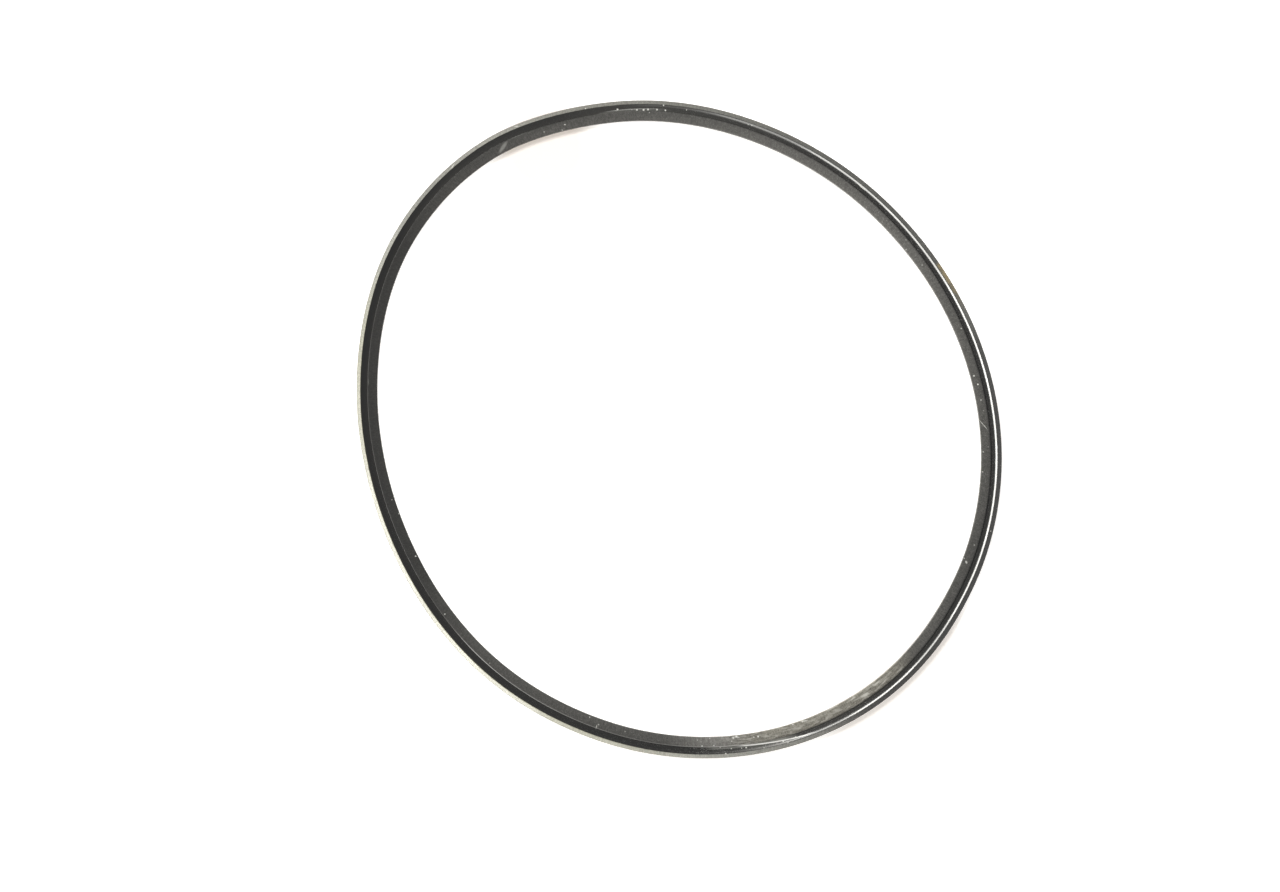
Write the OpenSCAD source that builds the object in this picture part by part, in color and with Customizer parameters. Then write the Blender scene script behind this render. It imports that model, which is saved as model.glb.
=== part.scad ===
// Lip seal: one moulded rubber ring with a sealing lip round its outside.
// It lies free on its flat heel, a little out of round, as a slender ring does.

/* [Fitted size] */
// Diameter of the seat that the inside wall grips when the seal is fitted
seat_d = 190.5; // [150:0.5:260]
// Width of the section, from the inside wall to the sealing edge
section_w = 6.35; // [5.8:0.05:9]

/* [Heel] */
// How far the sealing edge stands out past the heel
lip_overhang = 0.9; // [0.5:0.05:1.4]
// Height of the heel's straight outer wall, before the lip flares out
heel_h = 1.3; // [0.8:0.05:2]
// Radius of the heel's two lower edges
heel_round = 0.45; // [0.1:0.05:0.7]
// Radius where the straight wall turns into the flare
flare_round = 2; // [0.5:0.1:4]

/* [Land] */
// Height of the land, the inner top face, above the resting face
land_h = 4.5; // [3.9:0.05:5.2]
// How far the land falls from its shoulder to the inside wall
land_fall = 0.2; // [0:0.02:0.5]
// Width of the land, out to the corner of its shoulder
land_w = 2.95; // [2.4:0.05:3.2]
// Radius of the land's inner edge
land_edge_round = 0.3; // [0.1:0.05:0.6]
// Radius of the shoulder, where the land turns down into the groove
shoulder_round = 0.6; // [0.2:0.05:0.8]

/* [Groove] */
// Depth of the groove at its inner side, below the land
groove_depth = 0.5; // [0.3:0.05:1.5]
// Width of the sloping wall from the shoulder to the groove's floor
groove_slope_w = 0.25; // [0.15:0.05:0.6]
// Radius at the foot of the sloping wall
groove_round = 0.15; // [0.05:0.05:0.3]

/* [Lip] */
// Height of the lip's crest above the resting face
crest_h = 4.85; // [4.4:0.05:5.6]
// Width of the inner bevel, from the groove's floor to the crest
inner_bevel_w = 0.8; // [0.5:0.05:1]
// Slope of the inner bevel below level
inner_bevel_angle = 40; // [25:1:55]
// Radius of the dished corner between the groove's floor and the inner bevel
dish_round = 0.8; // [0.3:0.05:1.2]
// Width of the outer bevel, from the crest to the sealing edge
bevel_w = 1.25; // [1:0.01:1.4]
// Slope of the outer bevel below level
bevel_angle = 37; // [25:1:45]
// Radius of the crest
crest_round = 0.15; // [0.05:0.05:0.3]
// Radius of the sealing edge
sealing_round = 0.08; // [0.05:0.01:0.2]

/* [Free-lying shape] */
// How far the two ends of the long axis lie outside the fitted circle
oval = 5.35; // [0:0.05:8]
// Height of the three slight lobes in the outline
three_lobes = 0.81; // [0:0.01:1.2]
// Heading of the first of the three lobes, from the long axis
three_lobes_heading = 61; // [0:1:120]
// Height of the four slight lobes
four_lobes = 0.25; // [0:0.01:0.6]
// Heading of the first of the four lobes
four_lobes_heading = 9; // [0:0.5:90]
// Height of the five slight lobes
five_lobes = 0.16; // [0:0.01:0.4]
// Heading of the first of the five lobes
five_lobes_heading = 55.5; // [0:0.5:72]

/* [Hidden] */

// The outline is a chain of arcs that turn by the same angle and meet in line.
arc_count = 24;
arc_turn = 360 / arc_count;
// Each arc turns a hair further than its share, so that neighbours join in the mesh too.
joint_overlap = 0.00001;
steps_a_turn = 360;
// Length of the straight steps that round the section's corners
corner_step = 0.3;

heel_w = section_w - lip_overhang;
crest_u = section_w - bevel_w;
sealing_h = crest_h - bevel_w * tan(bevel_angle);
groove_h = land_h - groove_depth;
dish_u = crest_u - inner_bevel_w;
dish_h = crest_h - inner_bevel_w * tan(inner_bevel_angle);
// The sloping wall ends short of the inner bevel, whatever the widths.
floor_u = min(land_w + groove_slope_w, dish_u - 0.2);

// Corners of the section, anticlockwise: distance out from the inside wall, height, radius.
section_corners = [
    [0, 0, heel_round],
    [heel_w, 0, heel_round],
    [heel_w, heel_h, flare_round],
    [section_w, sealing_h, sealing_round],
    [crest_u, crest_h, crest_round],
    [dish_u, dish_h, dish_round],
    [floor_u, groove_h, groove_round],
    [land_w, land_h, shoulder_round],
    [0, land_h - land_fall, land_edge_round]
];

// Lobes of the free outline: how many, their height and the heading of the first.
lobes = [
    [2, oval, 0],
    [3, three_lobes, three_lobes_heading],
    [4, four_lobes, four_lobes_heading],
    [5, five_lobes, five_lobes_heading]
];

function sum(list, i = 0) = i < len(list) ? list[i] + sum(list, i + 1) : 0;
function heading(angle) = [cos(angle), sin(angle)];
function place(corner) = [corner[0], corner[1]];
function unit(v) = v / norm(v);
function at(list, i) = list[(i + len(list)) % len(list)];

// Half of the angle that the outline turns through at corner i.
function half_turn(list, i) =
    let (
        into = unit(place(list[i]) - place(at(list, i - 1))),
        out = unit(place(at(list, i + 1)) - place(list[i]))
    )
    acos(max(-1, min(1, into * out))) / 2;

// Length that corner i's radius takes from each of its two sides.
function reach(list, i) = list[i][2] * tan(half_turn(list, i));

// Share of corner i's radius that the side to the next corner has room for.
function room(list, i) =
    let (
        j = (i + 1) % len(list),
        side = norm(place(list[j]) - place(list[i])),
        wanted = reach(list, i) + reach(list, j)
    )
    min(1, 0.98 * side / wanted);

// Points of the arc that rounds corner i.
function rounded_corner(list, i) =
    let (
        corner = place(list[i]),
        last = (i + len(list) - 1) % len(list),
        back = unit(place(list[last]) - corner),
        ahead = unit(place(at(list, i + 1)) - corner),
        share = min(room(list, i), room(list, last)),
        radius = list[i][2] * share,
        half = half_turn(list, i),
        middle = corner + unit(back + ahead) * radius / cos(half),
        start = corner + back * radius * tan(half),
        side = back[0] * ahead[1] - back[1] * ahead[0] > 0 ? -1 : 1,
        first = atan2(start[1] - middle[1], start[0] - middle[0]),
        arc_length = radius * 2 * half * PI / 180,
        steps = max(2, round(arc_length / corner_step))
    )
    [for (k = [0:steps])
        middle + radius * heading(first + side * 2 * half * k / steps)];

section_points = [
    for (i = [0:len(section_corners) - 1])
        each rounded_corner(section_corners, i)
];

// Radius of the inside wall where it faces a heading. Every lobe bends it and
// leaves its length as it was, so the free ring fits the same seat.
function bend_radius(angle) =
    seat_d / 2 + sum([for (w = lobes) (1 - w[0] * w[0]) * w[1] * cos(w[0] * (angle - w[2]))]);

bend_radii = [for (i = [0:arc_count - 1]) bend_radius((i + 0.5) * arc_turn)];

// Each arc's centre lies on the line through the joint with the arc before it.
arc_centres = [
    for (
        i = 0, centre = [0, 0];
        i < arc_count;
        centre = centre + (bend_radii[i] - at(bend_radii, i + 1)) * heading((i + 1) * arc_turn),
        i = i + 1
    ) centre
];

// A point of the inside wall at a joint between two arcs.
function joint(i) = arc_centres[i] + bend_radii[i] * heading(i * arc_turn);
quarter = arc_count / 4;
outline_middle = [
    (joint(0)[0] + joint(2 * quarter)[0]) / 2,
    (joint(quarter)[1] + joint(3 * quarter)[1]) / 2
];

// Moves in thousandths of a millimetre and then by the rest, so that no digit
// is lost and the arcs meet face to face.
module exact_move(v) {
    coarse = [for (x = v) round(x * 1000) / 1000];
    translate(coarse)
        translate(v - coarse)
            children();
}

module section() {
    polygon(section_points);
}

module arc(i) {
    exact_move(arc_centres[i])
        rotate_extrude(angle = arc_turn + joint_overlap, start = i * arc_turn, $fn = steps_a_turn)
            exact_move([bend_radii[i], 0])
                section();
}

module lip_seal() {
    color([0.09, 0.09, 0.085])
        translate(-outline_middle)
            union() {
                for (i = [0:arc_count - 1]) arc(i);
            }
}

lip_seal();
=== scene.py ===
# %% [markdown]
# # A slender rubber lip seal
#
# This lesson builds one moulded rubber ring and the light that it is photographed in. The ring
# seals the gap round a piston: its flat heel sits on the piston, and the pointed lip round its
# outside presses on the bore. It lies free on a white table, so it is a little out of round.
# Everything is in metres, in the frame of the packed model, with +Z up.

# %% The packed model
import math

import bpy
import numpy as np
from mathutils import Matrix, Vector


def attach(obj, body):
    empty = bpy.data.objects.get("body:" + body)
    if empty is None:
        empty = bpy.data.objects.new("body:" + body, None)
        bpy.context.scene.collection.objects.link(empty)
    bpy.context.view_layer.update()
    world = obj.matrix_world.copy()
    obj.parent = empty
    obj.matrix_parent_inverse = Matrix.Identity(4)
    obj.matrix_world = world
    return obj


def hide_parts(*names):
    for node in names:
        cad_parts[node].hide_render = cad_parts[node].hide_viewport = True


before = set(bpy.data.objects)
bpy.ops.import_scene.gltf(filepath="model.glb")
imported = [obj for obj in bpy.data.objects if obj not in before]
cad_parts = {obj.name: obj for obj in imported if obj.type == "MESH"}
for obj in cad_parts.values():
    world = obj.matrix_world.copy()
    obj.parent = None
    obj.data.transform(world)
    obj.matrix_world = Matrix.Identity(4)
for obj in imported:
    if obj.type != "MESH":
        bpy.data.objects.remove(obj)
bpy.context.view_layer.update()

# %% [markdown]
# ## The free outline
#
# A designer draws this ring as a circle, but a thin ring that lies free sags into an uneven oval.
# Its support function says how far each side stands from the middle: the fitted radius, plus a
# wave for the oval and smaller waves for three, four and five slight lobes. The slight kinks,
# where the rubber has been bent, are bumps in it. One formula then gives every point and its
# outward direction, which is simpler than a curve with hand-placed handles.

# %% Sizes of the ring
MM = 0.001
seat_radius = 95.25 * MM
section_width = 6.35 * MM
# How many lobes, their height, and the heading of the first from the long axis
lobes = [
    (2, 5.28 * MM, 0),
    (3, 0.81 * MM, 60.5),
    (4, 0.25 * MM, 11.5),
    (5, 0.19 * MM, 56),
]
# Heading of each kink from the long axis, half of its width in degrees, and how far it stands out
kinks = [
    (22, 6, -0.12 * MM), (102, 7, 0.07 * MM), (120, 6, -0.07 * MM), (150, 8, -0.21 * MM),
    (169, 9, 0.35 * MM), (193, 9, -0.19 * MM), (235, 5, 0.06 * MM), (255, 8, -0.10 * MM),
    (278, 9, 0.12 * MM), (298, 7, -0.08 * MM), (360, 12, 0.19 * MM),
]
print(len(lobes), "lobes and", len(kinks), "kinks")


# %% [markdown]
# ## Points of the outline
#
# At each heading the wall stands out by its reach, and the slope of the reach moves the point
# sideways by as much. That is how a support function gives its points. A curve through chosen
# points would also pass for the outline, but its outer edge would have to be found again. Here a
# point of the section is simply one that stands further out.

# %% The outline's points
def wall_points(heading, out):
    """Points at a distance out from the inside wall, where it faces these headings."""
    reach = seat_radius + out
    change = 0
    for count, height, first in lobes:
        phase = count * (heading - math.radians(first))
        reach = reach + height * np.cos(phase)
        change = change - count * height * np.sin(phase)
    for middle, half_width, height in kinks:
        gap = (heading - math.radians(middle) + math.pi) % (2 * math.pi) - math.pi
        share = gap / math.radians(half_width)
        bump = height * np.exp(-share ** 2)
        reach = reach + bump
        change = change - 2 * share / math.radians(half_width) * bump
    across, along = np.cos(heading), np.sin(heading)
    return np.stack([reach * across - change * along, reach * along + change * across], axis=-1)


sealing_edge = wall_points(np.radians(np.arange(0, 360, 1.0)), section_width)
outline_middle = (sealing_edge.min(0) + sealing_edge.max(0)) / 2
print("free outline, mm:", np.round((sealing_edge.max(0) - sealing_edge.min(0)) / MM, 1))

# %% [markdown]
# ## The section
#
# The section is one closed outline of corners, each with its own radius. The land inside falls a
# little towards the middle, a shallow groove parts it from the lip, and the lip has two bevels
# that meet in a sharp crest. A profile could be drawn by hand as a curve, but written as corners it
# keeps the sizes that a maker would measure, and each can be changed by itself.

# %% Corners of the section
land_width, land_height, land_fall = 2.95 * MM, 4.5 * MM, 0.2 * MM
groove_height = land_height - 0.5 * MM
groove_start = land_width + 0.25 * MM
crest_out, crest_height = 5.1 * MM, 4.85 * MM
inner_bevel_width, inner_bevel_slope = 0.8 * MM, math.radians(40)
outer_bevel_slope = math.radians(37)
heel_out, heel_height = 5.45 * MM, 1.3 * MM

dish_height = crest_height - inner_bevel_width * math.tan(inner_bevel_slope)
sealing_height = crest_height - (section_width - crest_out) * math.tan(outer_bevel_slope)

# Distance out from the inside wall, height, radius; anticlockwise from the heel's inner edge
section_corners = [
    (0, 0, 0.45 * MM),
    (heel_out, 0, 0.45 * MM),
    (heel_out, heel_height, 2.0 * MM),
    (section_width, sealing_height, 0.08 * MM),
    (crest_out, crest_height, 0.15 * MM),
    (crest_out - inner_bevel_width, dish_height, 0.8 * MM),
    (groove_start, groove_height, 0.15 * MM),
    (land_width, land_height, 0.6 * MM),
    (0, land_height - land_fall, 0.3 * MM),
]
print("crest:", round(crest_height / MM, 2), "mm high; sealing edge:",
      round(sealing_height / MM, 2), "mm high")


# %% [markdown]
# ## Rounded corners
#
# A mould leaves no knife edge. Rounded corners matter more than their size suggests, because each
# one catches the light as a thin line all round the ring. A bevel modifier could round the finished
# mesh, but here each corner has a radius of its own, so the arcs are worked out first. The points
# lie close together on the arcs, and further apart on the straight sides, which need fewer.

# %% Round the corners
def unit(vector):
    return vector / np.linalg.norm(vector)


def rounded_outline(corners, arc_step, side_step):
    """The closed outline with its corners rounded, and the number of the corner of each point."""
    places = np.array([corner[:2] for corner in corners])
    arcs = []
    for i, (_, _, radius) in enumerate(corners):
        into = unit(places[i] - places[i - 1])
        ahead = unit(places[(i + 1) % len(corners)] - places[i])
        turn = math.atan2(into[0] * ahead[1] - into[1] * ahead[0], into @ ahead)
        side = math.copysign(radius, turn)
        start = places[i] - into * radius * math.tan(abs(turn) / 2)
        middle = start + side * np.array([-into[1], into[0]])
        steps = max(3, math.ceil(radius * abs(turn) / arc_step))
        first = math.atan2(start[1] - middle[1], start[0] - middle[0])
        swing = first + np.linspace(0, turn, steps + 1)
        arcs.append(middle + radius * np.stack([np.cos(swing), np.sin(swing)], axis=-1))
    outline, numbers = [], []
    for i, arc in enumerate(arcs):
        stretch = arcs[(i + 1) % len(arcs)][0] - arc[-1]
        steps = max(2, math.ceil(np.linalg.norm(stretch) / side_step))
        shares = np.linspace(0, 1, steps + 1)[1:-1]
        points = list(arc) + [arc[-1] + share * stretch for share in shares]
        outline.extend(points)
        numbers.extend([i] * len(points))
    return np.array(outline), np.array(numbers)


section, section_part = rounded_outline(section_corners, arc_step=0.07 * MM, side_step=0.3 * MM)
print("section:", len(section), "points,", round(section[:, 1].max() / MM, 2), "mm high")

# %% [markdown]
# ## The camera
#
# The ring was photographed from straight above, and its long axis lies askew in the picture. The
# camera stands high over the picture's middle and turns with it, so that the ring itself can keep
# the model's frame. An orthographic camera would show no depth at all, so a long lens is used,
# which keeps the view as flat as the photograph's.

# %% Camera over the table
picture_width, picture_height = 1280, 892
seat_radius_pixels = 305.9
metres_a_pixel = seat_radius / seat_radius_pixels
ring_middle_x, ring_middle_y = 676.5, 427.75
camera_height, farthest_seen = 2.5, 20
# Turn of the picture against the model's frame; a picture heading is a model heading less this
picture_turn = math.radians(50.3)

right = Vector((math.cos(picture_turn), math.sin(picture_turn), 0))
up = Vector((-math.sin(picture_turn), math.cos(picture_turn), 0))
aim = Vector((-outline_middle[0], -outline_middle[1], crest_height))
aim -= right * (ring_middle_x - picture_width / 2) * metres_a_pixel
aim -= up * (picture_height / 2 - ring_middle_y) * metres_a_pixel

lens = bpy.data.cameras.new("camera")
lens.sensor_width = 36
lens.lens = lens.sensor_width * camera_height / (picture_width * metres_a_pixel)
lens.clip_end = farthest_seen
camera = bpy.data.objects.new("camera", lens)
camera.location = aim + Vector((0, 0, camera_height))
camera.rotation_euler = (0, 0, picture_turn)
bpy.context.scene.collection.objects.link(camera)
bpy.context.scene.camera = camera
print("lens, mm:", round(lens.lens, 1))

# %% [markdown]
# ## An uneven section
#
# The real section isn't quite even: it is a few hundredths wider towards the bottom of the picture
# than towards its top, as a moulded ring often is. Scaling the mesh would widen the whole ring with
# it. So the width is a mean with a few waves in it, and the sweep asks for it at each heading.

# %% Width of the section round the ring
mean_growth = 1.025
# How many waves in a turn, their height, and the heading of the first in the picture
growth_waves = [(1, -0.029, 82), (2, -0.0125, 26), (3, 0.005, -21)]


def section_growth(heading):
    """How wide the section is at a model heading, as a share of its nominal width."""
    seen = heading - picture_turn
    growth = mean_growth
    for count, height, first in growth_waves:
        growth = growth + height * np.cos(count * (seen - math.radians(first)))
    return growth


growth_all_round = section_growth(np.radians(np.arange(0, 360, 1.0)))
print("section:", round(growth_all_round.min(), 3), "to", round(growth_all_round.max(), 3),
      "of its width")


# %% [markdown]
# ## The ring's mesh
#
# Each point of the section is swept round the outline. The faces run in a regular grid, which
# shades cleanly and gives a simple map: along the ring in one direction and across the section in
# the other. A modifier could sweep a curve, but it couldn't change the section's width on the way.

# %% Sweep the section round the outline
rings = 720
# The sweep starts at a quiet stretch of the ring, because the map has its seam there
seam_heading = 150


def ring_mesh():
    """The section swept round the outline, as a mesh and as an array of its points."""
    start = math.radians(seam_heading) + picture_turn
    headings = start + np.linspace(0, 2 * math.pi, rings, endpoint=False)
    points = np.empty((rings, len(section), 3))
    for j, (out, height) in enumerate(section):
        wall = wall_points(headings, out * section_growth(headings))
        # The model's origin is the middle of the outline
        points[:, j, :2] = wall - outline_middle
        points[:, j, 2] = height
    number = np.arange(rings * len(section)).reshape(rings, len(section))
    ahead, beside = np.roll(number, -1, 0), np.roll(number, -1, 1)
    faces = np.stack([number, ahead, np.roll(ahead, -1, 1), beside], axis=-1)
    mesh = bpy.data.meshes.new("lip_seal_ring")
    mesh.from_pydata(points.reshape(-1, 3).tolist(), [], faces.reshape(-1, 4).tolist())
    mesh.shade_smooth()
    return mesh, points


seal_mesh, ring_points = ring_mesh()
print("ring:", len(seal_mesh.vertices), "points,", 2 * len(seal_mesh.polygons), "triangles")

# %% [markdown]
# ## A map of the ring
#
# Every mark on the rubber has a place, so the ring gets its own map. One direction is the heading
# in the picture, as a share of a turn. The other is the place across the top: 0 at the inside wall
# and 1 at the sealing edge. The hidden faces carry on below 0 and above 1, so that no mark on
# the top shows up a second time underneath. An unwrap tool would cut the ring where it likes, but
# a map that is written with the mesh has its one seam where nothing lies on it.

# %% Map by heading and by place across the top
def around_the_ring(points):
    """Heading in the picture of each point, as a share of a turn that grows without a jump."""
    centred = points[..., :2] + outline_middle
    heading = np.arctan2(centred[..., 1], centred[..., 0]) - picture_turn
    closed = np.unwrap(np.concatenate([heading, heading[:1]]), axis=0) / (2 * math.pi)
    return closed - round(closed[0, 0] - seam_heading / 360)


def across_the_section():
    """Place of each section point: 0 to 1 over the top, beyond that on the hidden faces."""
    closed = np.concatenate([section, section[:1]])
    steps = np.linalg.norm(np.diff(closed, axis=0), axis=1)
    walked = np.concatenate([[0], np.cumsum(steps)])
    # The outline starts below, climbs the outer wall and comes back over the top
    sealing = np.argmax(section[:, 0])
    inner = np.flatnonzero(section_part == len(section_corners) - 1)[-1]
    place = closed[:, 0] / section_width
    place[:sealing] = 1 + (walked[sealing] - walked[:sealing]) / section_width
    place[inner:] = (walked[inner] - walked[inner:]) / section_width
    return place


def map_ring(mesh, points):
    """Gives each face's corners their places on the map, and returns how far it runs along."""
    along = around_the_ring(points)
    along = np.concatenate([along, along[:, :1]], axis=1)
    across = np.broadcast_to(across_the_section(), along.shape)
    places = np.stack([along, across], axis=-1)
    near, far = places[:-1], places[1:]
    corners = np.stack([near[:, :-1], far[:, :-1], far[:, 1:], near[:, 1:]], axis=2)
    layer = mesh.uv_layers.new(name="RingMap")
    layer.uv.foreach_set("vector", corners.astype(np.float32).ravel())
    return along.min(), along.max()


map_range = map_ring(seal_mesh, ring_points)
print("map runs from", round(map_range[0], 3), "to", round(map_range[1], 3), "turns")

# %% [markdown]
# ## A piece of the model
#
# The packed model shows the ring as a plain solid. The finished ring rides on the same body and is
# shown in its place, so whoever uses the part sees the worn rubber and still has the exact solid.
# The solid's own mesh could be coloured instead, but it has far fewer faces and no such map.

# %% The ring as a piece of the model
seal = bpy.data.objects.new("lip_seal_ring", seal_mesh)
bpy.context.scene.collection.objects.link(seal)
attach(seal, "root")
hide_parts("lip_seal")
print("piece:", seal.name, "on", seal_mesh.name)

# %% [markdown]
# ## Shader maths as Python
#
# A material with many small marks soon becomes a tangle of nodes. One small class wraps the output
# of a node, so that masks are written as sums and products, and each operator adds its own node.
# The nodes could be placed by hand as well, but a list of marks is easier to read and to correct.

# %% A wire between shader nodes
class Wire:
    """One output of a shader node. Arithmetic on wires adds Math nodes to their tree."""

    def __init__(self, tree, socket=None):
        self.tree, self.socket = tree, socket

    def node(self, kind, settings, sockets, output=0):
        """Adds a node, with its settings first and then its sockets, and returns an output."""
        made = self.tree.nodes.new("ShaderNode" + kind)
        for name, value in settings.items():
            setattr(made, name, value)
        for key, value in sockets.items():
            if isinstance(value, Wire):
                self.tree.links.new(value.socket, made.inputs[key])
            else:
                made.inputs[key].default_value = value
        return Wire(self.tree, made.outputs[output])

    def math(self, operation, *terms):
        return self.node("Math", {"operation": operation}, dict(enumerate(terms)))

    def __add__(self, other):
        return self.math("ADD", self, other)

    def __sub__(self, other):
        return self.math("SUBTRACT", self, other)

    def __rsub__(self, other):
        return self.math("SUBTRACT", other, self)

    def __mul__(self, other):
        return self.math("MULTIPLY", self, other)

    __radd__ = __add__
    __rmul__ = __mul__


print("Wire:", Wire.__doc__)


# %% [markdown]
# ## Masks and mixes
#
# Nearly every mark on the ring is a level that rises smoothly from one place to another. A colour
# ramp could do that too, but a map range is smooth at both ends and takes its height directly. A
# few helpers are enough: a rise, a band between two rises, the larger of two masks, and a mix of
# two colours.

# %% Helpers for masks
def rise(value, start, end, height=1.0):
    """0 at the start, the height at the end, and smooth between; it falls where end is lower."""
    return value.node("MapRange", {"interpolation_type": "SMOOTHSTEP"},
                      {"Value": value, "From Min": start, "From Max": end, "To Max": height})


def between(value, start, end, soft):
    """1 between the start and the end, and 0 beyond them, with soft edges of this width."""
    return rise(value, start - soft, start + soft) * rise(value, end + soft, end - soft)


def larger(first, second):
    return first.math("MAXIMUM", first, second)


def mix_colours(mask, below, above):
    """The colour above where the mask is 1, and the colour below where it is 0."""
    return mask.node("Mix", {"data_type": "RGBA"}, {0: mask, 6: below, 7: above}, output=2)


def turns(heading):
    """A heading in the picture, in degrees, as the map's share of a turn."""
    return heading / 360 + (1 if heading < seam_heading else 0)


print("heading 0 lies at", turns(0), "turns on the map, and heading 180 at", turns(180))

# %% [markdown]
# ## Black rubber with two finishes
#
# The mould leaves the land and the outer bevel dull, and the groove and the inner bevel glossy.
# A mask by the place across the top tells them apart. The rubber itself is nearly black: what the
# photograph shows is mostly the room's reflection in it, so roughness counts more than colour.

# %% Places on the ring
rubber = bpy.data.materials.new("seal_rubber")
rubber.use_nodes = True
rubber_shader = rubber.node_tree.nodes["Principled BSDF"]
ring_map = Wire(rubber.node_tree).node("UVMap", {"uv_map": "RingMap"}, {})
along = ring_map.node("SeparateXYZ", {}, {0: ring_map}, output="X")
across = ring_map.node("SeparateXYZ", {}, {0: ring_map}, output="Y")
# The same place in millimetres: along the ring, and across its top
mm_a_turn, mm_across = 618, section_width / MM
place = ring_map.node("VectorMath", {"operation": "MULTIPLY"},
                      {0: ring_map, 1: (mm_a_turn, mm_across, 0)})
solid_place = ring_map.node("TexCoord", {}, {}, output="Object")
print("one turn is", mm_a_turn, "mm long and the top is", round(mm_across, 2), "mm wide")


# %% [markdown]
# ## Bands across the top
#
# Land, groove, inner bevel and outer bevel lie beside each other as four narrow bands. Each could
# have a material of its own, but then the finish would change from one face to the next. A mask by
# the place across the top gives each edge its own softness, and one material holds them all. What
# changes along the ring is a short list of headings and levels, with a smooth rise between them.

# %% Masks for the bands
def round_the_ring(stops):
    """A level that runs smoothly from stop to stop, from the map's seam round to the seam again.

    Each stop is a heading in the picture and the level there.
    """
    level = stops[0][1]
    for (heading, here), (next_heading, there) in zip(stops, stops[1:]):
        if there != here:
            level = rise(along, turns(heading), turns(next_heading), there - here) + level
    return level


# Places across the top, as shares of its width
shoulder, groove_side, bevel_foot, crest = 0.462, 0.50, 0.66, 0.80
# The land's film ends a little short of the shoulder over the right half
film_short = round_the_ring([(150, 0), (325, 0), (350, 0.028), (88, 0.028), (100, 0), (149, 0)])
land = rise(across + film_short, groove_side, shoulder)
shoulder_line = between(across, shoulder - 0.01, shoulder + 0.016, 0.012)
inner_bevel = between(across, bevel_foot, crest, 0.01)
crest_line = rise(across, crest + 0.12, crest + 0.03)
outer_bevel = rise(across, crest, crest + 0.02)
sealing_side, outer_wall = 1.02, 1.08
under_the_lip = rise(across, sealing_side, outer_wall)
print("nodes for the bands:", len(rubber.node_tree.nodes))


# %% [markdown]
# ## Grain of the rubber
#
# Moulded rubber is never quite even. It has a fine grain, a softer mottling, and short hatching
# across the ring that the turned mould left in it. One noise could serve for all three, but each
# has its own size and direction, so each gets a noise of its own. They shade the film, and further
# down they also give the dull faces their relief.

# %% Noise for the grain
def noise(vector, scale, detail=2.0, rough=0.5, distortion=0.0, output=0):
    """Soft noise around a half; the scale counts its waves in a unit of the vector."""
    return vector.node("TexNoise", {}, {
        "Vector": vector, "Scale": scale, "Detail": detail, "Roughness": rough,
        "Distortion": distortion}, output)


def stretched(vector, turn, along_scale, across_scale):
    """Place turned by some degrees and scaled, for streaks that run one way."""
    return vector.node("Mapping", {}, {
        "Vector": vector, "Rotation": (0, 0, math.radians(turn)),
        "Scale": (along_scale, across_scale, 1)})


# Waves in a metre
grain_scale, mottle_scale = 2200, 420
grain = noise(solid_place, grain_scale, detail=3.0, rough=0.6)
mottle = noise(solid_place, mottle_scale, detail=3.0, rough=0.6)
hatch_place = stretched(place, turn=0, along_scale=2.4, across_scale=0.5)
hatch = noise(hatch_place, scale=1.0, detail=2.0, rough=0.6)
# The film's level varies from this share of it upwards
thinnest_film = 0.61
dusting = rise(hatch, 0.3, 0.7, 0.3) + rise(grain, 0.3, 0.7, 0.45) + thinnest_film
print("grain of", round(1000 / grain_scale, 2), "mm, and mottling of",
      round(1000 / mottle_scale, 1), "mm")

# %% [markdown]
# ## Chalky film
#
# A chalky film has settled on the rubber, thicker over some stretches than others. Its levels also
# hold painted light: the land is lighter over the right half, where it faces the light, and at the
# lower right, as a painted sheen on the greasy stretch. It could be painted on an image, but a list
# of headings and levels is enough, and it is easy to correct: each level is how much light the film
# gives back at that heading of the ring in the picture.

# %% Film on the land
# Film on the land, with painted light: lighter on the right half, and painted sheen at the lower
# right
land_film_and_light_stops = [
    (150, 0.03), (205, 0.028), (230, 0.07), (266, 0.073), (280, 0.205), (290, 0.235), (311, 0.2),
    (317, 0.088), (335, 0.067), (352, 0.071), (8, 0.085), (20, 0.096), (40, 0.125), (70, 0.115),
    (90, 0.096), (110, 0.081), (130, 0.058), (149, 0.032),
]
land_film_and_light = round_the_ring(land_film_and_light_stops)
thinner_outward = 1 - rise(across, 0, 0.46, 0.2)
# Painted shade: the land is darker over the shoulder at the left
shoulder_shade = larger(rise(along, turns(100), turns(112)), rise(along, turns(228), turns(214)))
shoulder_shade = shoulder_shade * rise(across, 0.415, 0.45, height=0.7)
# A painted highlight on the shoulder's edge over a stretch at the lower left, where it faces the
# light
shoulder_highlight = shoulder_line * round_the_ring([
    (150, 0), (221, 0.02), (229, 0.28), (238, 0.16), (262, 0.1), (273, 0.16), (277, 0.32),
    (281, 0.32), (286, 0), (149, 0),
])
film_levels = [level for _, level in land_film_and_light_stops]
print("the film on the land gives back from", min(film_levels), "to", max(film_levels),
      "of the light")

# %% [markdown]
# ## Film on the bevel and in the groove
#
# The outer bevel has a film of its own, with painted sheen in its level: it is bright at the left
# of the picture, where the bevel faces the low panels, and nearly gone at the lower right. The
# groove stays almost clean. All the faces could share one list, but they differ, so each has its
# own.

# %% Film on the other faces
# Film on the outer bevel, with painted sheen: lighter where the bevel faces the low panels
bevel_film_and_sheen = round_the_ring([
    (150, 0.15), (172, 0.18), (205, 0.19), (232, 0.265), (262, 0.315), (280, 0.33), (293, 0.27),
    (306, 0.03), (355, 0.027), (14, 0.05), (22, 0.165), (32, 0.09), (55, 0.09), (85, 0.155),
    (105, 0.175), (120, 0.172), (135, 0.12), (149, 0.15),
])
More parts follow.
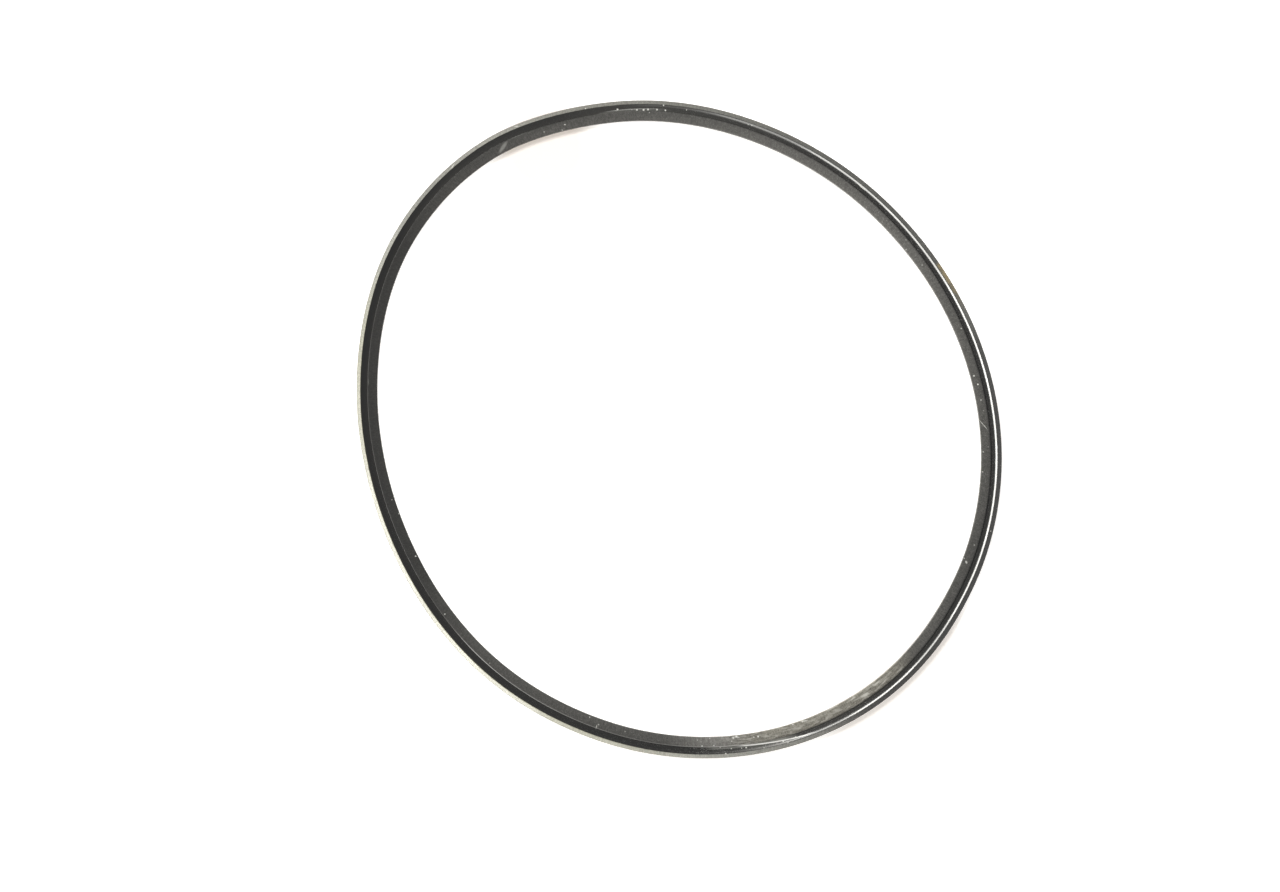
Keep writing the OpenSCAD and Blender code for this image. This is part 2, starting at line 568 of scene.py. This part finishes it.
# A painted highlight along the crest, on the side that faces the light
crest_highlight = crest_line * round_the_ring([
    (150, 0.22), (170, 0.25), (200, 0.3), (245, 0.2), (270, 0), (105, 0), (130, 0.2),
])
# Little film in the groove, and painted light near both ends, where the low light runs along it
groove_film_and_light = round_the_ring([
    (150, 0.01), (272, 0.01), (279, 0.022), (285, 0.07), (288, 0.08), (292, 0.03), (315, 0.014),
    (345, 0.011), (30, 0.011), (60, 0.017), (76, 0.026), (86, 0.03), (94, 0.036), (103, 0.03),
    (112, 0.02), (130, 0.02), (149, 0.01),
])
print("nodes with the film:", len(rubber.node_tree.nodes))


# %% [markdown]
# ## Painted light across the groove
#
# At the lower and the upper end of the ring the low light runs along the groove, so the paleness
# of the land is carried on over the groove as painted light. It reaches up to a line that crosses
# the groove aslant, and at the lower end that line is a painted highlight. It could be a thin strip
# laid over the ring, but it has no thickness that shows. So the line is a place across the top that
# changes evenly with the heading, and the painted light ends where it is passed.

# %% Lines across the groove
def slanting(heading, beside, next_heading, next_beside):
    """A place across the top that moves evenly between two headings, and holds beyond them."""
    return along.node("MapRange", {}, {
        "Value": along, "From Min": turns(heading), "From Max": turns(next_heading),
        "To Min": beside, "To Max": next_beside})


def lit_up_to(line, start, full, still_full, end):
    """1 below a line across the top, from one heading to another, with soft ends."""
    ends = rise(along, turns(start), turns(full)) * rise(along, turns(end), turns(still_full))
    return rise(line - across, -0.012, 0.012) * ends


line_start, line_end = 0.485, 0.7
lower_line = slanting(280.5, line_start, 293, line_end)
lower_lit_groove = lit_up_to(lower_line, 279, 282, 288, 292)
upper_lit_groove = lit_up_to(slanting(101, 0.585, 105, 0.47), 90, 95, 103.5, 105.5)
# A dimmer painted light covers the groove's floor where the lower line begins
dim_lit_groove = rise(across, 0.61, 0.575) * between(along, turns(276), turns(285), 0.004)
# Half of the gleam's width, with its soft edge and without
gleam_edge, gleam_core = 0.04, 0.012
line_gap = across.math("ABSOLUTE", across - lower_line)
# The gleam is a painted highlight along the lower line
gleam = rise(line_gap, gleam_edge, gleam_core) * rise(along, turns(280), turns(282.5))
gleam = gleam * rise(along, turns(295), turns(292.5))
print("the gleaming line climbs from", line_start, "to", line_end, "of the top's width")

# %% [markdown]
# ## Marbling and a stain
#
# One stretch of the land at the lower right is marbled with pale greasy streaks and dark veins. The
# streaks are partly painted sheen, where the greasy film mirrors the light.
# Both come from one noise that is stretched the way the streaks run: its high values are streaks,
# and a thin slice of its middle values is a vein. Two noises would do as well, but the veins then
# wouldn't follow the streaks. The bevel has a tan stain at the upper right.

# %% Marbling and stain
marbled = between(along, turns(279), turns(313), 0.012) * land
streak_place = stretched(place, turn=-9, along_scale=0.24, across_scale=1.5)
marbling = noise(streak_place, scale=1.0, detail=4.0, rough=0.6, distortion=0.8)
streaks = rise(marbling, 0.5, 0.62, 0.4)
veins = between(marbling, 0.42, 0.47, 0.02) * marbled
stain = outer_bevel * rise(along, turns(22), turns(29)) * rise(along, turns(32.5), turns(31.5))
stain_depth = stain * rise(mottle, 0.2, 0.55)
print("nodes with the marbling:", len(rubber.node_tree.nodes))

# %% [markdown]
# ## Specks
#
# Lint and dust stick to rubber. Each visible speck is a small round mark at its own place, with its
# edge made ragged by noise. Small meshes would do for specks too, but marks in the material cost
# nothing in faces, and they stay part of the one moulded ring.

# %% List of specks
# Heading in the picture, place across the top, radius in mm, strength
specks = [
    (3.2, 0.28, 0.16, 0.5), (5.2, 0.25, 0.22, 0.8), (8.2, 0.26, 0.30, 1.0), (9.9, 0.18, 0.28, 0.9),
    (19.2, 0.37, 0.22, 0.7), (33.5, 0.24, 0.25, 0.4), (37.8, 0.08, 0.25, 0.6),
    (39.3, 0.38, 0.20, 0.4), (45.0, 0.10, 0.20, 0.3), (49.3, 0.10, 0.20, 0.4),
    (55.2, 0.10, 0.20, 0.4), (76.0, 0.72, 0.22, 0.8), (76.7, 0.70, 0.18, 0.6),
    (88.2, 0.68, 0.20, 0.6), (92.3, 0.78, 0.22, 1.0), (92.0, 0.55, 0.25, 1.0),
    (93.5, 0.56, 0.33, 0.8), (95.1, 0.55, 0.33, 0.9), (95.9, 0.53, 0.35, 0.9),
    (97.1, 0.54, 0.33, 0.8), (98.0, 0.56, 0.20, 0.5), (100.5, 0.60, 0.30, 1.0),
    (100.8, 0.55, 0.15, 0.6), (94.9, 0.40, 0.20, 0.5), (105.9, 0.84, 0.20, 0.8),
    (110.2, 0.28, 0.25, 0.8), (111.0, 0.05, 0.20, 0.6), (114.1, 0.20, 0.18, 0.5),
    (194.2, 0.13, 0.20, 0.4), (197.2, 0.02, 0.25, 0.7), (206.2, 0.10, 0.25, 0.8),
    (218.8, 0.36, 0.22, 0.9), (231.6, 0.36, 0.20, 0.4), (253.3, 0.10, 0.20, 0.8),
    (260.4, 0.22, 0.18, 0.4), (273.8, 0.15, 0.20, 0.6), (274.6, 0.42, 0.25, 0.9),
    (276.7, 0.40, 0.20, 0.9), (276.1, 0.06, 0.20, 0.6), (277.8, 0.50, 0.20, 0.6),
    (278.6, 0.80, 0.25, 0.9), (279.7, 0.60, 0.20, 0.6), (281.5, 0.62, 0.20, 0.5),
    (282.3, 0.62, 0.25, 0.7), (280.0, 0.25, 0.20, 0.8), (280.4, 0.10, 0.35, 0.8),
    (281.0, 0.06, 0.35, 1.0), (284.0, 0.20, 0.25, 0.7), (284.8, 0.20, 0.30, 1.0),
    (291.4, 0.05, 0.25, 0.8), (293.2, 0.05, 0.32, 0.9), (288.8, 0.68, 0.20, 0.9),
    (291.1, 0.65, 0.28, 1.0), (285.3, 0.76, 0.20, 0.6), (289.5, 0.78, 0.20, 0.6),
    (335.6, 0.05, 0.20, 0.6), (338.5, 0.30, 0.18, 0.5), (341.8, 0.87, 0.22, 0.9),
    (351.8, 0.08, 0.20, 0.6), (355.5, 0.10, 0.20, 0.6), (356.5, 0.35, 0.16, 0.4),
]
print(len(specks), "specks")


# %% [markdown]
# ## Ragged edges
#
# A speck with a clean round edge looks printed. Its edge could be cut from noise, but then it would
# be lost where the noise is low. Here the place itself is moved a little to and fro before the
# distance to the speck is taken, which makes the edge ragged and keeps the speck.

# %% Lay the specks on the ring
def shaken(scale, shake_along, shake_across):
    """The place in millimetres, moved a little to and fro by noise, for ragged edges."""
    wobble = noise(solid_place, scale, detail=1.0, output="Color")
    mean = (0.5, 0.5, 0.5)
    wobble = wobble.node("VectorMath", {"operation": "SUBTRACT"}, {0: wobble, 1: mean})
    return wobble.node("VectorMath", {"operation": "MULTIPLY_ADD"}, {
        0: wobble, 1: (shake_along, shake_across, 0), 2: place})


# How far out a mark keeps its full strength, as a share of its radius
speck_core, long_core = 0.7, 0.3


def round_mark(vector, heading, beside, radius, strength):
    """A speck: a small round mark with a soft edge."""
    middle = (turns(heading) * mm_a_turn, beside * mm_across, 0)
    gap = vector.node("VectorMath", {"operation": "DISTANCE"}, {0: vector, 1: middle}, output=1)
    return rise(gap, radius, radius * speck_core, strength)


ragged = shaken(scale=2600, shake_along=0.25, shake_across=0.25)
dust_and_highlight = round_mark(ragged, *specks[0])
for speck in specks[1:]:
    dust_and_highlight = larger(dust_and_highlight, round_mark(ragged, *speck))
print("nodes with the specks:", len(rubber.node_tree.nodes))

# %% [markdown]
# ## Scuffs and smears
#
# A scuff is a stretch of rubber that has been rubbed pale, and a smear is grease that has been
# wiped along the ring. Both are longer than they are wide. A painted image could hold them, but it
# would have to be very fine for the thinnest of them. So each is an oval with its own place, size
# and turn, which takes one line of a list.

# %% Lists of scuffs and smears
# Heading, place across, half length and half width in mm, turn in degrees, strength
scuffs = [
    (0.6, 0.18, 2.5, 0.12, -35, 0.9), (121.7, 0.25, 2.9, 0.75, -28, 0.22),
    (121.2, 0.38, 1.4, 0.25, -20, 0.14), (118.6, 0.45, 4.0, 0.12, 1, 0.12),
    # The long mark at 97.5 degrees, across the groove, is a painted highlight
    (97.5, 0.575, 12, 0.20, -1, 0.3), (52.5, 0.70, 2.2, 0.16, 3, 0.7),
    (118.0, 0.90, 0.8, 0.25, 20, 0.4), (130.5, 0.88, 1.2, 0.15, -20, 0.5),
    (171.5, 0.42, 1.6, 0.10, -3, 0.12), (255.0, 0.40, 0.8, 0.12, 90, 0.8),
    (255.3, 0.28, 0.35, 0.30, 0, 0.5), (335.1, 0.21, 0.6, 0.45, -50, 0.65),
    (281.0, 0.09, 1.4, 0.20, 12, 0.7), (293.6, 0.07, 1.3, 0.22, 10, 0.7),
]
# Greasy smears in the marbled stretch, partly painted sheen, written as the scuffs are
smears = [
    (283.4, 0.30, 1.2, 0.35, 20, 0.35), (286.0, 0.24, 1.6, 0.5, 10, 0.45),
    (291.8, 0.28, 2.4, 0.5, 8, 0.55), (297.0, 0.36, 1.8, 0.3, -14, 0.4),
    (299.6, 0.22, 1.6, 0.6, 8, 0.55), (302.9, 0.10, 1.4, 0.4, 4, 0.85),
    (305.2, 0.27, 2.2, 0.65, 10, 1.0), (307.9, 0.14, 1.9, 0.4, 16, 0.9),
    (309.4, 0.30, 1.6, 0.25, -12, 0.7), (311.0, 0.18, 1.3, 0.3, 14, 0.5),
    (312.6, 0.38, 1.8, 0.32, -4, 0.9),
]
print(len(scuffs), "scuffs and", len(smears), "smears")


# %% [markdown]
# ## Long marks as ovals
#
# The place is moved, turned and scaled so that the mark becomes a round one of radius 1. Then the
# distance from its middle is a mask like any other. A mask with straight ends would be as easy, but
# nothing that is rubbed or wiped ends so squarely.

# %% Lay the long marks on the ring
def long_mark(vector, heading, beside, half_length, half_width, turn, strength):
    """An oval mark that is turned against the ring's direction."""
    held = vector.node("Mapping", {"vector_type": "TEXTURE"}, {
        "Vector": vector, "Location": (turns(heading) * mm_a_turn, beside * mm_across, 0),
        "Rotation": (0, 0, math.radians(turn)), "Scale": (half_length, half_width, 1)})
    gap = held.node("VectorMath", {"operation": "LENGTH"}, {0: held}, output=1)
    return rise(gap, 1.0, long_core, strength)


for scuff in scuffs:
    dust_and_highlight = larger(dust_and_highlight, long_mark(ragged, *scuff))
smeared = shaken(scale=700, shake_along=2.0, shake_across=0.9)
# Grease and painted sheen: the pale streaks and smears
grease_and_sheen = streaks
for smear in smears:
    grease_and_sheen = larger(grease_and_sheen, long_mark(smeared, *smear))
thinnest_grease = 0.55
grease_and_sheen = grease_and_sheen * marbled * (rise(mottle, 0.3, 0.65, 0.45) + thinnest_grease)
print("nodes with the marks:", len(rubber.node_tree.nodes))

# %% [markdown]
# ## Fine lint
#
# Between the specks lies lint that is too fine to place one by one. Particles could be scattered
# over the mesh, but at this size only their colour shows. A fine noise, of which only the highest
# peaks are kept, gives the same pepper of pale dots, and a list says where there is more of it.

# %% Lint too fine to place one by one
linty = round_the_ring([
    (150, 0), (225, 0.1), (268, 0.25), (275, 0.55), (300, 0.4), (318, 0.15), (340, 0.15),
    (350, 0.3), (50, 0.4), (75, 0.25), (105, 0.1), (149, 0),
])
lint_scale, lint_starts, lint_full = 4400, 0.61, 0.72
lint = rise(noise(solid_place, lint_scale, detail=1.0, rough=0.6), lint_starts, lint_full) * linty
print("lint of", round(1000 / lint_scale, 2), "mm")


# %% [markdown]
# ## The rubber's colour
#
# The layers lie on each other: film and painted light on black rubber, grease and painted sheen on
# the film, painted highlights, and lint and dust on top. Whole shaders could be mixed, but one
# colour
# for each place is simpler. Each mix takes a mask and the next layer's colour. The tints are
# slight:
# the film on the land is a warm grey, a little creamier where it is marbled.

# %% Colour of the land
def tone(level, red=1.0, green=1.0, blue=1.0):
    """A colour of this level, tinted a little."""
    return (level * red, level * green, level * blue, 1)


def tinted(level, red=1.0, green=1.0, blue=1.0):
    """A level that varies over the ring, as a colour that is tinted a little."""
    return level.node("VectorMath", {"operation": "SCALE"}, {0: (red, green, blue), 3: level})


vein_depth = 0.35
# The land's level holds painted light, and painted shade over the shoulder at the left
land_level = land_film_and_light * thinner_outward * dusting * (1 - shoulder_shade) * (1 - veins * vein_depth)
creamy = between(along, turns(281), turns(315), 0.01)
land_colour = mix_colours(creamy, tinted(land_level, 1, 0.975, 0.91),
                          tinted(land_level, 1, 0.95, 0.81))
# Pale colour of the grease, partly a painted sheen
grease_and_sheen_colour = tone(0.52, 1, 0.98, 0.89)
land_colour = mix_colours(grease_and_sheen, land_colour, grease_and_sheen_colour)
print("nodes with the land's colour:", len(rubber.node_tree.nodes))

# %% [markdown]
# ## Colour of the bevel
#
# The outer bevel is yellower at the left of the picture, where its painted sheen is brightest, and
# a tan stain lies on it at the upper right. One tint all round would be simpler, but the colour
# changes slowly from yellow to grey round the ring.

# %% Colour of the bevel
stain_colour = tone(0.32, 1, 0.8, 0.42)
yellower_left = between(along, turns(155), turns(266), 0.04)
bevel_share, lost_under_the_lip = 0.92, 0.9
bevel_level = bevel_film_and_sheen * dusting * (crest_highlight + bevel_share)
bevel_level = bevel_level * (1 - under_the_lip * lost_under_the_lip)
bevel_colour = mix_colours(yellower_left, tinted(bevel_level, 1, 0.99, 0.88),
                           tinted(bevel_level, 1, 0.98, 0.74))
bevel_colour = mix_colours(stain_depth, bevel_colour, stain_colour)
print("nodes with the bevel's colour:", len(rubber.node_tree.nodes))

# %% [markdown]
# ## Colour of the groove
#
# The groove is black rubber with hardly any film. Near its lower and upper end it gets painted
# light where the low light runs along it. Those stretches could be faces of their own, but their
# line runs aslant across the faces, so they are masks that are laid over the groove one after the
# other, with the painted highlight of the gleaming line on top.

# %% Colour of the groove
groove_colour = tinted(groove_film_and_light, 1, 0.97, 0.88)
# Painted light on the groove's floor, and the painted highlight of the gleaming line
groove_colour = mix_colours(dim_lit_groove, groove_colour, tone(0.12, 1, 1, 0.92))
groove_colour = mix_colours(upper_lit_groove, groove_colour, tone(0.085, 1, 0.99, 0.93))
groove_colour = mix_colours(lower_lit_groove, groove_colour, tone(0.19, 1, 0.99, 0.9))
groove_colour = mix_colours(gleam, groove_colour, tone(0.72, 1, 1, 0.97))
print("nodes with the groove's colour:", len(rubber.node_tree.nodes))

# %% [markdown]
# ## The faces together
#
# The three colours come together by the masks of the bands, and what lies loose on the ring comes
# last. A colour ramp across the top could join them too, but its colours couldn't change round the
# ring. The order matters, because each mix covers what is under it.

# %% The colours joined
lint_colour, dust_colour = tone(0.4, 1, 1, 0.95), tone(0.68, 1, 1, 0.94)
# The shoulder's painted highlight is added to the land's colour
land_with_highlight = land_colour.node("VectorMath", {"operation": "ADD"}, {0: land_colour, 1: shoulder_highlight})
colour = mix_colours(larger(land, shoulder_line), groove_colour, land_with_highlight)
colour = mix_colours(outer_bevel, colour, bevel_colour)
colour = mix_colours(lint, colour, lint_colour)
colour = mix_colours(dust_and_highlight, colour, dust_colour)
rubber.node_tree.links.new(colour.socket, rubber_shader.inputs["Base Color"])
print("nodes of the colour:", len(rubber.node_tree.nodes))

# %% [markdown]
# ## Dull and glossy
#
# Dull rubber scatters the light, and glossy rubber shows the bright panels as sharp lines. A dull
# and a glossy shader could be mixed, but one shader whose roughness follows the bands is lighter,
# and the exported model takes one roughness for each place.

# %% Roughness
land_rough, bevel_rough, glossy_rough, dust_rough = 0.38, 0.4, 0.13, 0.4
glossy = 1 - larger(land, outer_bevel)
roughness = land * land_rough + outer_bevel * bevel_rough + glossy * glossy_rough
roughness = roughness + rise(dust_and_highlight, 0, 1, dust_rough)
rubber.node_tree.links.new(roughness.socket, rubber_shader.inputs["Roughness"])
rubber_shader.inputs["Specular IOR Level"].default_value = 0.3
print("roughness from", glossy_rough, "in the groove to", bevel_rough, "on the bevel")

# %% [markdown]
# ## The mould's skin
#
# Rubber takes a thin, hard skin from a polished mould. It could be left to a lower roughness, but
# that would make all of the light sharp. The coat adds a second, sharper reflection over the dull
# one. It comes and goes round the ring, since film and dust cover it in places.

# %% Coat over the bevels
bevel_gloss = round_the_ring([
    (150, 0.1), (165, 0.1), (178, 0.25), (200, 0.6), (232, 0.9), (262, 0.8), (300, 0.5),
    (85, 0.5), (108, 0), (135, 0), (149, 0.1),
])
inner_gloss = round_the_ring([(150, 0), (278, 0), (290, 1), (76, 1), (92, 0), (149, 0)])
coat = outer_bevel * bevel_gloss + inner_bevel * inner_gloss
rubber.node_tree.links.new((coat * (1 - dust_and_highlight)).socket, rubber_shader.inputs["Coat Weight"])
rubber_shader.inputs["Coat Roughness"].default_value = 0.16
rubber_shader.inputs["Coat IOR"].default_value = 1.6
print("nodes with the coat:", len(rubber.node_tree.nodes))

# %% [markdown]
# ## Relief
#
# The dull faces have a grain that can be felt. It could be pushed out of the mesh, but that would
# take far more faces than the whole ring has now. A bump only tilts the light that a face gives
# back, and no more than that shows. The groove and the inner bevel stay smooth.

# %% Relief of the dull faces
relief_depth, relief_strength = 0.02 * MM, 0.3
relief = larger(land, outer_bevel) * (grain + hatch)
bumped = relief.node("Bump", {}, {
    "Height": relief, "Strength": relief_strength, "Distance": relief_depth})
rubber.node_tree.links.new(bumped.socket, rubber_shader.inputs["Normal"])
seal_mesh.materials.append(rubber)
print("rubber:", len(rubber.node_tree.nodes), "nodes")

# %% [markdown]
# ## The white table
#
# The ring lies on a large sheet of white paper that fills the picture. A white background behind
# an empty scene could do as well, but then the ring would float, with no shadow under it. So the
# floor is a real plane, which is staged and doesn't count as a piece of the model.

# %% White floor
floor_side = 12
bpy.ops.mesh.primitive_plane_add(size=floor_side)
floor = bpy.context.object
floor.name = "floor"
paper = bpy.data.materials.new("paper")
paper.use_nodes = True
sheet = paper.node_tree.nodes["Principled BSDF"]
sheet.inputs["Base Color"].default_value = (0.95, 0.93, 0.91, 1)
sheet.inputs["Roughness"].default_value = 0.9
floor.data.materials.append(paper)
print("floor:", floor.dimensions.x, "m wide")


# %% [markdown]
# ## Shadows that show
#
# More light would burn the paper out to plain white, but it would also wash out the black rubber.
# So the paper gets a little white of its own, which only what is seen straight, in a mirror or
# through glass picks up. In the photograph the ring's shadow shows at two places only, inside at
# the upper left and outside at the lower right. The paper's own white is low there, and the ring's
# real shadow comes through.

# %% The paper's own white
def seen_rays(tree):
    """1 for what the camera sees straight, in a mirror or through glass, and 0 for other light."""
    names = ("Is Camera Ray", "Is Glossy Ray", "Is Transmission Ray")
    straight, mirrored, through = (Wire(tree).node("LightPath", {}, {}, name) for name in names)
    return larger(straight, larger(mirrored, through))


def shadow_pool(heading, out, start, end, depth):
    """The depth within the end's distance of a place beside the ring, and 0 beyond the start's."""
    swing = math.radians(heading) + picture_turn
    middle = (seat_radius + out) * np.array([math.cos(swing), math.sin(swing), 0])
    gap = paper_place.node("VectorMath", {"operation": "DISTANCE"},
                           {0: paper_place, 1: middle}, output=1)
    return rise(gap, start, end, depth)


seen = seen_rays(paper.node_tree)
paper_place = seen.node("TexCoord", {}, {}, output="Object")
pools = larger(
    shadow_pool(heading=115, out=0, start=21 * MM, end=10 * MM, depth=1),
    shadow_pool(heading=312, out=12 * MM, start=36 * MM, end=20 * MM, depth=0.65))
lifted_white, pool_white = (0.52, 0.52, 0.52, 1), (0.06, 0.02, 0.0, 1)
own_white = mix_colours(pools, lifted_white, pool_white)
glow = seen.node("Emission", {}, {"Color": own_white, "Strength": seen})
lifted = seen.node("AddShader", {}, {0: Wire(paper.node_tree, sheet.outputs[0]), 1: glow})
paper.node_tree.links.new(
    lifted.socket, paper.node_tree.nodes["Material Output"].inputs["Surface"])
print("paper:", len(paper.node_tree.nodes), "nodes")


# %% [markdown]
# ## Light from low at the left
#
# A row of low panels stands for the windows that the rubber mirrors. The inner bevel faces the
# middle of the ring, so it shows them as a bright line over the right half, and the outer bevel
# shows them over the left half. One long panel could do, but a row lets each heading have its own
# strength. They cast no shadow, as the photograph has only one. That one comes from the key panel,
# high up at the upper left, which the rubber doesn't mirror. Together with the white room they add
# up to a plain level, at which a colour renders about as written.

# %% Soft panels
def panel(name, heading, elevation, width, height, radiance, colour):
    """A soft panel; its width and height are the degrees that it fills as seen from the ring."""
    distance = 2.0
    lamp = bpy.data.lights.new(name, "AREA")
    lamp.shape = "RECTANGLE"
    lamp.size = 2 * distance * math.tan(math.radians(width / 2))
    lamp.size_y = 2 * distance * math.tan(math.radians(height / 2))
    lamp.energy = radiance * math.pi * lamp.size * lamp.size_y
    lamp.color = colour
    lit = bpy.data.objects.new(name, lamp)
    swing, lift = math.radians(heading) + picture_turn, math.radians(elevation)
    to_lamp = Vector((
        math.cos(swing) * math.cos(lift), math.sin(swing) * math.cos(lift), math.sin(lift)))
    lit.location = to_lamp * distance
    lit.rotation_euler = to_lamp.to_track_quat("Z", "Y").to_euler()
    lit.visible_camera = False
    bpy.context.scene.collection.objects.link(lit)
    return lit


# Heading in the picture and radiance of each low panel
low_panels = [
    (97.5, 1.5), (112.5, 6.5), (127.5, 16), (142.5, 9.8), (157.5, 14), (172.5, 14.5),
    (187.5, 14.5), (202.5, 14.5), (217.5, 10), (232.5, 8.3), (247.5, 3.2), (262.5, 1.7),
]
window_light, white_light = (1, 0.985, 0.93), (1, 1, 1)
for heading, radiance in low_panels:
    low = panel(f"low_panel_{heading:.0f}", heading, elevation=13, width=15.6, height=12,
                radiance=radiance, colour=window_light)
    low.data.use_shadow = False
key = panel("key_panel", heading=116, elevation=69, width=14, height=14,
            radiance=26, colour=white_light)
key.visible_glossy = False
print(len(low_panels), "low panels and a key panel")

# %% [markdown]
# ## White surroundings
#
# The room is white where it is seen or mirrored, and much dimmer as a light. A white sky of full
# strength would be simpler, but it would light the rubber from all sides and leave no shadow on
# the table.

# %% White room
world = bpy.data.worlds.new("room")
bpy.context.scene.world = world
world.use_nodes = True
room = world.node_tree.nodes["Background"]
room.inputs["Color"].default_value = (1, 1, 1, 1)
dim_light = 0.17
strength = rise(seen_rays(world.node_tree), 0, 1, 1 - dim_light) + dim_light
world.node_tree.links.new(strength.socket, room.inputs["Strength"])
bpy.context.scene.view_settings.view_transform = "Standard"
print("room: strength 1 where it is seen,", dim_light, "as a light")

# %% [markdown]
# ## The finished ring
#
# The finished ring should agree with the packed model's box to within a few hundredths, since it
# takes the place of the plain part.
